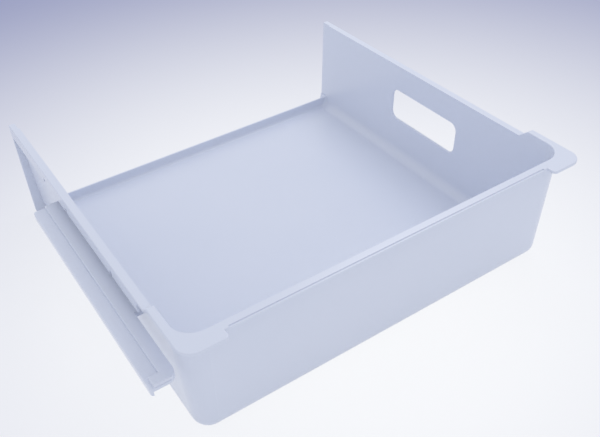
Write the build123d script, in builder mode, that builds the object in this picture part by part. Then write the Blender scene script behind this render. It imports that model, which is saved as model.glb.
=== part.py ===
"""Freezer drawer: one moulded tub with a tall rear wall, a low front lip, hand holes and side rails.

+X runs across the drawer, +Y towards its open front, +Z up. It stands on Z = 0, centred on its own box.
"""
import os
from math import radians, tan

from build123d import *

# Tub, in millimetres and degrees
inner_width = 396.0  # between the side walls, at their top edges
overall_depth = 404.0  # from the ears' rear edges to the front ends of the side walls
rear_height = 122.5
rim_rise = 8.5  # of the rear rim above the side walls
wall = 3.0
floor = 3.0
draft = 3.2
corner_radius = 22.5  # outer rear corners, at the rim
bottom_radius = 14.0  # outer edge between floor and walls

# Front lip, and the seat of the front panel before it
lip_height = 15.0
lip_wall = 3.0
lip_radius = 4.0
seat_depth = 13.0
seat_step = 1.2
fin_thickness = 3.0  # end plates that close the side rims
fin_radius = 3.0

# Rim turned outward round the tub, with an ear at each rear corner
rim_thickness = 2.6
rim_width = 4.5  # past the side wall's outer face
rim_overhang = 9.0  # from the rear wall's inner face to the rim's outer edge
rim_step_width = 2.0
rim_step_depth = 0.8
ear_overhang = 17.6  # from the rear wall's inner face to an ear's rear edge
ear_length = 38.0  # along the rear edge
ear_radius = 14.0
ear_blend = 4.0  # between ear and rim
ramp_foot = 53.4  # from the rear wall's inner face
ramp_length = 10.0

# Skirt under the side rim, with drain notches in its lower edge
skirt_height = 14.0
skirt_thickness = 1.8
skirt_rear = 66.4  # from the rear wall's inner face
notch_places = (119.4, 223.4, 282.4)  # from the rear wall's inner face
notch_length = 4.0
notch_height = 5.0

# Hand holes
hole_length = 106.0
hole_height = 36.5
hole_bottom = 48.0
hole_middle = 189.4  # from the rear wall's inner face
hole_radius = 9.0

# Side rails, the left one with a springy tongue at its rear end
rail_width = 27.0  # past the side wall's top
rail_top = 88.0
rail_thickness = 2.6
rail_length = 260.4  # from the rear wall's inner face
rail_radius = 3.0
rail_lip = 7.0  # height of the turned-down outer edge
lip_thickness = 2.2
track_width = 11.5  # lower outer track of the rail
track_step = 3.0
stop_length = 10.0
tongue_length = 77.4
tongue_gap = 6.0  # between tongue and wall
tongue_radius = 8.0

# Rounded edges
rim_edge_radius = 1.0
wall_edge_radius = 0.8

# Places worked out from the sizes
slope = tan(radians(draft))
side_height = rear_height - rim_rise
half_outer = inner_width / 2 + wall
rim_reach = half_outer + rim_width
rail_reach = half_outer + rail_width
rear_inner = ear_overhang - overall_depth / 2
front_end = overall_depth / 2
lip_inner = front_end - seat_depth
run_out = rear_height * slope + wall
reach = overall_depth + 2 * rail_reach
hollow_radius = bottom_radius - wall


def half_inner(height):
    """Half the width between the side walls at a height."""
    return inner_width / 2 + (height - side_height) * slope


def rear_face(height):
    """Place of the rear wall's inner face at a height."""
    return rear_inner + (rear_height - height) * slope


with BuildPart() as hollow:
    # Space inside the tub, drafted like the walls and closed in front by the lip
    with BuildSketch(Plane.XY.offset(floor)) as hollow_plan:
        with Locations((0, (rear_face(floor) + lip_inner) / 2)):
            Rectangle(2 * half_inner(floor), lip_inner - rear_face(floor))
        hollow_corner = corner_radius - wall - (rear_height - floor) * slope
        fillet(hollow_plan.vertices().group_by(Axis.Y)[0], hollow_corner)
    extrude(amount=rear_height - floor, taper=-draft)
    inner_floor = hollow.faces().sort_by(Axis.Z)[0]
    fillet(inner_floor.edges().sort_by(Axis.Y)[:-1], hollow_radius)
    lip_face = hollow.faces().sort_by(Axis.Y)[-1]
    fillet(lip_face.edges().sort_by(Axis.Z)[:-1], lip_radius)

with BuildPart() as rim:
    # Plate that follows the top: level along the sides, up the ramps and level again at the rear
    ramp_low = rear_inner + ramp_foot
    ramp_high = ramp_low - ramp_length
    ear_rear = rear_inner - ear_overhang
    top_line = (
        (ear_rear, rear_height),
        (ramp_high, rear_height),
        (ramp_low, side_height),
        (front_end, side_height),
    )
    under_line = [(place, height - rim_thickness) for place, height in reversed(top_line)]
    with BuildSketch(Plane.YZ):
        with BuildLine():
            Polyline(*top_line, *under_line, close=True)
        make_face()
    extrude(amount=rim_reach, both=True)

    # Its outline seen from above, with the ears at the rear corners
    rim_rear = rear_inner - rim_overhang
    ear_inner = rim_reach - ear_length
    with BuildSketch(Plane.XY) as rim_plan:
        with Locations((0, (rim_rear + front_end) / 2)):
            Rectangle(2 * rim_reach, front_end - rim_rear)
        for corner in (-rim_reach, ear_inner):
            with Locations((corner, ear_rear)):
                Rectangle(ear_length, rim_rear - ear_rear, align=Align.MIN)
        ear_corners = rim_plan.vertices().group_by(Axis.Y)[0].sort_by(Axis.X)
        fillet([ear_corners[0], ear_corners[-1]], ear_radius)
        fillet(rim_plan.vertices().group_by(Axis.Y)[0].sort_by(Axis.X)[1:3], ear_blend)
        blend_corners = rim_plan.vertices().filter_by_position(Axis.Y, rim_rear, rim_rear)
        fillet(blend_corners.filter_by_position(Axis.X, -ear_inner, ear_inner), ear_blend)
    extrude(amount=rear_height, mode=Mode.INTERSECT)

    # Skirts hanging from the side rims
    skirt_back = rear_inner + skirt_rear
    for side in (-1, 1):
        with Locations((side * (rim_reach - skirt_thickness / 2), skirt_back, side_height)):
            skirt_length = front_end - skirt_back
            Box(skirt_thickness, skirt_length, skirt_height, align=(Align.CENTER, Align.MIN, Align.MAX))
    for place in notch_places:
        with Locations((0, rear_inner + place, side_height - skirt_height)):
            Box(2 * reach, notch_length, 2 * notch_height, mode=Mode.SUBTRACT)

with BuildPart() as rails:
    # Flat track along each side with a turned-down edge
    with BuildSketch(Plane.XY.offset(rail_top - rail_lip)) as track_plan:
        with Locations((0, rear_inner)):
            Rectangle(2 * rail_reach, rail_length, align=(Align.CENTER, Align.MIN))
        fillet(track_plan.vertices(), rail_radius)
    extrude(amount=rail_lip)
    fillet(rails.faces().sort_by(Axis.Z)[-1].edges(), wall_edge_radius)
    with BuildSketch(Plane.XY.offset(rail_top - rail_lip)):
        with Locations((0, rear_inner)):
            Rectangle(2 * (rail_reach - lip_thickness), rail_length, align=(Align.CENTER, Align.MIN))
    extrude(amount=rail_lip - rail_thickness, mode=Mode.SUBTRACT)

    # Raised strip by the wall, and a stop across the track at its rear end
    strip_length = rail_length - 2 * wall_edge_radius
    with BuildSketch(Plane.XY.offset(rail_top)):
        with Locations((0, rear_inner + wall_edge_radius)):
            Rectangle(2 * (rail_reach - track_width), strip_length, align=(Align.CENTER, Align.MIN))
            Rectangle(2 * (rail_reach - rail_radius), stop_length, align=(Align.CENTER, Align.MIN))
    extrude(amount=track_step)
    fillet(rails.faces().sort_by(Axis.Z)[-1].edges(), wall_edge_radius)

    # Gap that frees a tongue from the wall, with its inner rear corner rounded
    gap_half = half_inner(rail_top) + wall + tongue_gap
    with BuildSketch(Plane.XY.offset(rail_top - rail_lip)):
        with Locations((0, rear_inner)):
            Rectangle(2 * gap_half, 2 * tongue_length)
        for side in (-1, 1):
            with Locations((side * gap_half, rear_inner)):
                Rectangle(2 * tongue_radius, 2 * tongue_radius)
            with Locations((side * (gap_half + tongue_radius), rear_inner + tongue_radius)):
                Circle(tongue_radius, mode=Mode.SUBTRACT)
    extrude(amount=rail_lip + track_step, mode=Mode.SUBTRACT)

with BuildPart() as drawer_body:
    # Outer form: a drafted block with round rear corners and the rails, cut upright at the front
    outer_rear = rear_face(0) - wall
    outer_front = front_end + run_out
    with BuildSketch(Plane.XY) as outer_plan:
        with Locations((0, (outer_rear + outer_front) / 2)):
            Rectangle(2 * (half_inner(0) + wall), outer_front - outer_rear)
        fillet(outer_plan.vertices().group_by(Axis.Y)[0], corner_radius - rear_height * slope)
    extrude(amount=rear_height, taper=-draft)
    underside = drawer_body.faces().sort_by(Axis.Z)[0]
    fillet(underside.edges().sort_by(Axis.Y)[:-1], bottom_radius)
    add(rails.part)
    split(bisect_by=Plane.XZ.offset(-front_end), keep=Keep.TOP)

    # End plates of the side rims, as one plate across the front that the hollow opens later
    with BuildSketch(Plane.XZ.offset(-front_end)):
        with Locations((0, side_height / 2)):
            RectangleRounded(2 * rim_reach, side_height, fin_radius)
    extrude(amount=fin_thickness)

    # Side walls cut down to their height, with a ramp up to each ear
    with BuildSketch(Plane.YZ):
        with BuildLine():
            Polyline(*top_line[1:], (front_end, rear_height), close=True)
        make_face()
    extrude(amount=reach, both=True, mode=Mode.SUBTRACT)

    add(rim.part)
    add(hollow.part, mode=Mode.SUBTRACT)

    # Open front above the lip, with a shallow seat for the front panel
    openings = (
        (lip_height, 0.0, seat_depth + 2 * lip_radius, 0.0),
        (lip_height, seat_step, seat_depth, 0.0),
        (floor, 0.0, seat_depth - lip_wall, hollow_radius),
    )
    for bottom, widening, depth, radius in openings:
        low = half_inner(bottom) + widening
        high = half_inner(rear_height) + widening
        with BuildSketch(Plane.XZ.offset(-front_end)) as front_view:
            with BuildLine():
                Polyline((-low, bottom), (low, bottom), (high, rear_height), (-high, rear_height), close=True)
            make_face()
            if radius:
                fillet(front_view.vertices().group_by(Axis.Y)[0], radius)
        extrude(amount=depth, mode=Mode.SUBTRACT)

    # Hand holes through both side walls
    with BuildSketch(Plane.YZ):
        with Locations((rear_inner + hole_middle, hole_bottom + hole_height / 2)):
            RectangleRounded(hole_length, hole_height, hole_radius)
    extrude(amount=half_outer, both=True, mode=Mode.SUBTRACT)

    # One half is rounded along its edges and mirrored
    split(bisect_by=Plane.YZ, keep=Keep.BOTTOM)
    hole_ends = [rear_inner + hole_middle + end * hole_length / 2 for end in (-1, 1)]
    around_hole = drawer_body.edges().filter_by_position(Axis.Y, *hole_ends)
    around_hole = around_hole.filter_by_position(Axis.Z, hole_bottom, hole_bottom + hole_height)
    around_hole = around_hole.filter_by_position(Axis.X, -half_outer, 0)
    fillet(around_hole.filter_by(Axis.X, reverse=True), wall_edge_radius)
    side_tops = drawer_body.edges().filter_by_position(Axis.Z, side_height, side_height)
    fillet(side_tops.sort_by(SortBy.LENGTH)[-2:], wall_edge_radius)
    rim_edges = drawer_body.edges().group_by(Axis.Z)[-1].filter_by_position(Axis.X, -reach, -ear_radius)
    fillet(rim_edges.sort_by(Axis.Y)[:-1], rim_edge_radius)
    lip_top = drawer_body.edges().filter_by(Axis.X).filter_by_position(Axis.Z, lip_height, lip_height)
    fillet(lip_top.sort_by(SortBy.LENGTH)[-1], wall_edge_radius)
    mirror(about=Plane.YZ)

    # The right rail stops short, without the tongue
    with Locations((gap_half + (rail_width - tongue_gap) / 2, rear_inner, rail_top)):
        Box(rail_width, 2 * tongue_length, 3 * rail_lip, mode=Mode.SUBTRACT)

    # Fine step along the rim's outer border, between the ears
    with Locations((0, rim_rear, rear_height)):
        Box(2 * (ear_inner - ear_blend), 2 * rim_step_width, 2 * rim_step_depth, mode=Mode.SUBTRACT)

os.makedirs("parts", exist_ok=True)
drawer_body.part.label = "drawer_body"
export_step(drawer_body.part, "parts/drawer_body.step")
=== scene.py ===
"""Freezer drawer of white moulded polystyrene, dressed for a studio render."""
import math

import bmesh
import bpy
from bpy.props import FloatProperty, FloatVectorProperty, IntProperty, PointerProperty
from mathutils import Matrix, Vector

bl_info = {
    "name": "Freezer Drawer",
    "version": (1, 0, 0),
    "blender": (4, 5, 0),
    "location": "View3D > Sidebar > Freezer Drawer",
    "description": "Dresses a moulded freezer drawer and sets its studio stage",
    "category": "Object",
}

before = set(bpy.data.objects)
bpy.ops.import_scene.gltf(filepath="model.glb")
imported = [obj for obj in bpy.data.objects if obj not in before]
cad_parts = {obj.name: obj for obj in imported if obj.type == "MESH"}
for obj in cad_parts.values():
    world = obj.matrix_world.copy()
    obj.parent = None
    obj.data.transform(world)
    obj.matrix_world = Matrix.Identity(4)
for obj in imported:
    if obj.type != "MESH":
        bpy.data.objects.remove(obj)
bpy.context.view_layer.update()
MM = 0.001

# Sockets of a colour mix, whose names its other kinds share
MIX_FIRST, MIX_SECOND, MIX_RESULT = 6, 7, 2


def linear(hex_colour):
    """Turns an sRGB hex colour into linear red, green, blue and alpha."""
    channels = [int(hex_colour[i:i + 2], 16) / 255 for i in (1, 3, 5)]
    return [c / 12.92 if c <= 0.04045 else ((c + 0.055) / 1.055) ** 2.4 for c in channels] + [1.0]


def colour(name, description, default):
    """A colour setting whose default is an sRGB hex value."""
    return FloatVectorProperty(
        name=name, description=description, subtype="COLOR", size=4, min=0, max=1, default=linear(default))


def length(name, description, default):
    """A length setting in metres."""
    return FloatProperty(
        name=name, description=description, default=default, min=0, subtype="DISTANCE", unit="LENGTH")


def angle(name, description, degrees):
    """An angle setting whose default is given in degrees."""
    return FloatProperty(
        name=name, description=description, default=math.radians(degrees), subtype="ANGLE", unit="ROTATION")


def place(name, description, default):
    """A point in metres, in the drawer's own frame."""
    return FloatVectorProperty(
        name=name, description=description, default=default, subtype="TRANSLATION", unit="LENGTH")


def share(name, description, default):
    """A plain number from 0 to 1."""
    return FloatProperty(name=name, description=description, default=default, min=0, max=1, subtype="FACTOR")


def number(name, description, default):
    """A plain number without a unit."""
    return FloatProperty(name=name, description=description, default=default, min=0)


class DRAWER_PG_plastic(bpy.types.PropertyGroup):
    """Finish of the moulded plastic"""
    body: colour("Plastic", "White of the moulding", "#DDE2EF")
    cloud: colour("Flow clouds", "Slightly cooler white where the melt flowed last", "#D9DFED")
    cloud_size: length("Cloud size", "Width of a flow cloud", 90 * MM)
    cloud_detail: number("Cloud detail", "Layers of finer wisps in a flow cloud", 2.0)
    roughness: share("Roughness", "Roughness of the satin surface", 0.28)
    refraction: number("Refractive index", "Refractive index of polystyrene", 1.59)
    peel_size: length("Peel size", "Width of an orange-peel dimple", 5 * MM)
    peel_depth: length("Peel depth", "Depth of an orange-peel dimple", 0.006 * MM)
    peel_detail: number("Peel detail", "Layers of finer dimples in the orange peel", 1.0)


class DRAWER_PG_stage(bpy.types.PropertyGroup):
    """Floor, light and camera"""
    # The floor colours, light centre and radii paint a pool of light on the floor, which the lamps don't
    # make.
    floor_near: colour("Floor by the drawer", "Floor colour in the light", "#FCFDFF")
    floor_far: colour("Floor far away", "Floor colour where the light falls off", "#8E94BB")
    floor_radius: length("Floor radius", "Size of the round floor", 6.0)
    floor_sides: IntProperty(
        name="Floor sides", description="Straight sides of the round floor", default=96, min=3)
    glow_centre: place("Light centre", "Middle of the lit part of the floor", (0.0, -0.1, 0.0))
    glow_inner: length("Bright radius", "Distance at which the floor starts to darken", 0.05)
    glow_outer: length("Dark radius", "Distance at which the floor is darkest", 1.05)
    glow_share: share("Floor brightness", "Share of its brightness that shadows don't darken", 0.9)
    sky: colour("Sky", "Colour of the soft light from all sides", "#F6F8FF")
    sky_strength: share("Sky strength", "Level of the soft light from all sides", 0.84)
    lamp_place: place("Softbox", "Place of the softbox over the drawer", (0.6, 0.35, 1.1))
    lamp_aim: place("Softbox aim", "Point that the softbox faces", (0.0, 0.0, 0.05))
    lamp_size: length("Softbox size", "Width of the softbox", 0.6)
    lamp_power: FloatProperty(
        name="Softbox power", description="Light of the softbox", default=2.2, min=0, unit="POWER")
    camera_place: place("Camera", "Place of the camera", (-0.32104, -0.54698, 0.52545))
    camera_turn: angle("Camera turn", "Heading of the camera, from straight ahead", -32.135)
    camera_dip: angle("Camera dip", "How far the camera looks down", 38.62)
    camera_roll: angle("Camera roll", "Roll of the camera", -2.844)
    camera_lens: FloatProperty(
        name="Lens", description="Focal length on a 36 mm frame", default=45.79, min=1, unit="CAMERA")


def add_node(tree, kind, settings=None, inputs=None):
    """Adds a node, sets its properties and sets or links its inputs."""
    node = tree.nodes.new(kind)
    for name, value in (settings or {}).items():
        setattr(node, name, value)
    for name, value in (inputs or {}).items():
        if isinstance(value, bpy.types.NodeSocket):
            tree.links.new(value, node.inputs[name])
        else:
            node.inputs[name].default_value = value
    return node


def new_material(name):
    """Makes an empty node material and returns it with its tree."""
    material = bpy.data.materials.new(name)
    material.use_nodes = True
    material.node_tree.nodes.clear()
    return material, material.node_tree


# High-impact polystyrene from a polished mould: an even cool white with a soft gloss, which shows blurred
# reflections and a faint orange peel under a low light.
def polystyrene(look):
    material, tree = new_material("white_polystyrene")
    spot = add_node(tree, "ShaderNodeTexCoord").outputs["Object"]
    cloud = add_node(tree, "ShaderNodeTexNoise", inputs={
        "Vector": spot, "Scale": 1 / look.cloud_size, "Detail": look.cloud_detail})
    tint = add_node(tree, "ShaderNodeMix", {"data_type": "RGBA"}, {
        "Factor": cloud.outputs["Fac"], MIX_FIRST: look.body, MIX_SECOND: look.cloud})
    peel = add_node(tree, "ShaderNodeTexNoise", inputs={
        "Vector": spot, "Scale": 1 / look.peel_size, "Detail": look.peel_detail})
    dimples = add_node(tree, "ShaderNodeBump", inputs={
        "Height": peel.outputs["Fac"], "Distance": look.peel_depth})
    shader = add_node(tree, "ShaderNodeBsdfPrincipled", inputs={
        "Base Color": tint.outputs[MIX_RESULT],
        "Roughness": look.roughness,
        "IOR": look.refraction,
        "Normal": dimples.outputs["Normal"],
    })
    add_node(tree, "ShaderNodeOutputMaterial", inputs={"Surface": shader.outputs["BSDF"]})
    return material


# Matt white table top with a painted pool of light: camera and mirror rays see a glow that is pale at the
# light centre and greyer away from it, with only a faint real shadow.
def table_top(stage):
    material, tree = new_material("white_laminate_painted_light")
    spot = add_node(tree, "ShaderNodeTexCoord").outputs["Object"]
    away = add_node(tree, "ShaderNodeVectorMath", {"operation": "DISTANCE"}, {0: spot, 1: stage.glow_centre})
    # Painted pool of light: the floor's colour fades from the lit white to grey with distance from the light
    # centre.
    painted_falloff = add_node(tree, "ShaderNodeMapRange", {"interpolation_type": "SMOOTHSTEP"}, {
        "Value": away.outputs["Value"], "From Min": stage.glow_inner, "From Max": stage.glow_outer})
    tint = add_node(tree, "ShaderNodeMix", {"data_type": "RGBA"}, {
        "Factor": painted_falloff.outputs["Result"], MIX_FIRST: stage.floor_near, MIX_SECOND: stage.floor_far})
    matt = add_node(tree, "ShaderNodeBsdfDiffuse", inputs={"Color": stage.floor_near})
    glow = add_node(tree, "ShaderNodeEmission", inputs={"Color": tint.outputs[MIX_RESULT]})
    path = add_node(tree, "ShaderNodeLightPath")
    mirrored = add_node(tree, "ShaderNodeMath", {"operation": "MAXIMUM"}, {
        0: path.outputs["Is Glossy Ray"], 1: path.outputs["Is Transmission Ray"]})
    seen = add_node(tree, "ShaderNodeMath", {"operation": "MAXIMUM"}, {
        0: path.outputs["Is Camera Ray"], 1: mirrored.outputs["Value"]})
    level = add_node(tree, "ShaderNodeMath", {"operation": "MULTIPLY"}, {
        0: seen.outputs["Value"], 1: stage.glow_share})
    mixed = add_node(tree, "ShaderNodeMixShader", inputs={
        "Fac": level.outputs["Value"], 1: matt.outputs["BSDF"], 2: glow.outputs["Emission"]})
    add_node(tree, "ShaderNodeOutputMaterial", inputs={"Surface": mixed.outputs["Shader"]})
    return material


class DRAWER_OT_body(bpy.types.Operator):
    """Gives the moulded tub its finish"""
    bl_idname = "freezer_drawer.body"
    bl_label = "Drawer body"

    def execute(self, context):
        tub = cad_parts["drawer_body"]
        tub.data.materials.clear()
        tub.data.materials.append(polystyrene(context.scene.drawer_plastic))
        return {"FINISHED"}


class DRAWER_OT_stage(bpy.types.Operator):
    """Sets the pale floor, the soft light and the camera"""
    bl_idname = "freezer_drawer.stage"
    bl_label = "Stage"

    def execute(self, context):
        scene = context.scene
        stage = scene.drawer_stage
        scene.view_settings.view_transform = "Standard"

        mesh = bpy.data.meshes.new("floor")
        disc = bmesh.new()
        bmesh.ops.create_circle(disc, cap_ends=True, segments=stage.floor_sides, radius=stage.floor_radius)
        disc.to_mesh(mesh)
        disc.free()
        mesh.materials.append(table_top(stage))
        floor = bpy.data.objects.new("floor", mesh)
        scene.collection.objects.link(floor)

        scene.world = bpy.data.worlds.new("soft_sky")
        scene.world.use_nodes = True
        sky = scene.world.node_tree.nodes["Background"]
        sky.inputs["Color"].default_value = stage.sky
        sky.inputs["Strength"].default_value = stage.sky_strength

        softbox = bpy.data.lights.new("softbox", "AREA")
        softbox.shape = "DISK"
        softbox.size = stage.lamp_size
        softbox.energy = stage.lamp_power
        lamp = bpy.data.objects.new("softbox", softbox)
        lamp.location = stage.lamp_place
        lamp.rotation_euler = (Vector(stage.lamp_aim) - lamp.location).to_track_quat("-Z", "Y").to_euler()
        scene.collection.objects.link(lamp)

        camera = bpy.data.objects.new("camera", bpy.data.cameras.new("camera"))
        camera.data.lens = stage.camera_lens
        turn = Matrix.Rotation(stage.camera_turn, 4, "Z")
        dip = Matrix.Rotation(math.pi / 2 - stage.camera_dip, 4, "X")
        roll = Matrix.Rotation(stage.camera_roll, 4, "Z")
        camera.matrix_world = Matrix.Translation(stage.camera_place) @ turn @ dip @ roll
        scene.collection.objects.link(camera)
        scene.camera = camera
        return {"FINISHED"}


class DRAWER_PT_sidebar(bpy.types.Panel):
    """Lists the drawer's operators"""
    bl_idname = "DRAWER_PT_sidebar"
    bl_label = "Freezer Drawer"
    bl_space_type = "VIEW_3D"
    bl_region_type = "UI"
    bl_category = "Freezer Drawer"

    def draw(self, context):
        for operator in OPERATORS:
            self.layout.operator(operator.bl_idname)


GROUPS = (DRAWER_PG_plastic, DRAWER_PG_stage)
OPERATORS = (DRAWER_OT_body, DRAWER_OT_stage)
CLASSES = GROUPS + OPERATORS + (DRAWER_PT_sidebar,)


def register():
    for cls in CLASSES:
        bpy.utils.register_class(cls)
    bpy.types.Scene.drawer_plastic = PointerProperty(type=DRAWER_PG_plastic)
    bpy.types.Scene.drawer_stage = PointerProperty(type=DRAWER_PG_stage)


def unregister():
    del bpy.types.Scene.drawer_stage
    del bpy.types.Scene.drawer_plastic
    for cls in reversed(CLASSES):
        bpy.utils.unregister_class(cls)


def main():
    register()
    bpy.ops.freezer_drawer.body()
    bpy.ops.freezer_drawer.stage()


if __name__ == "__main__":
    main()
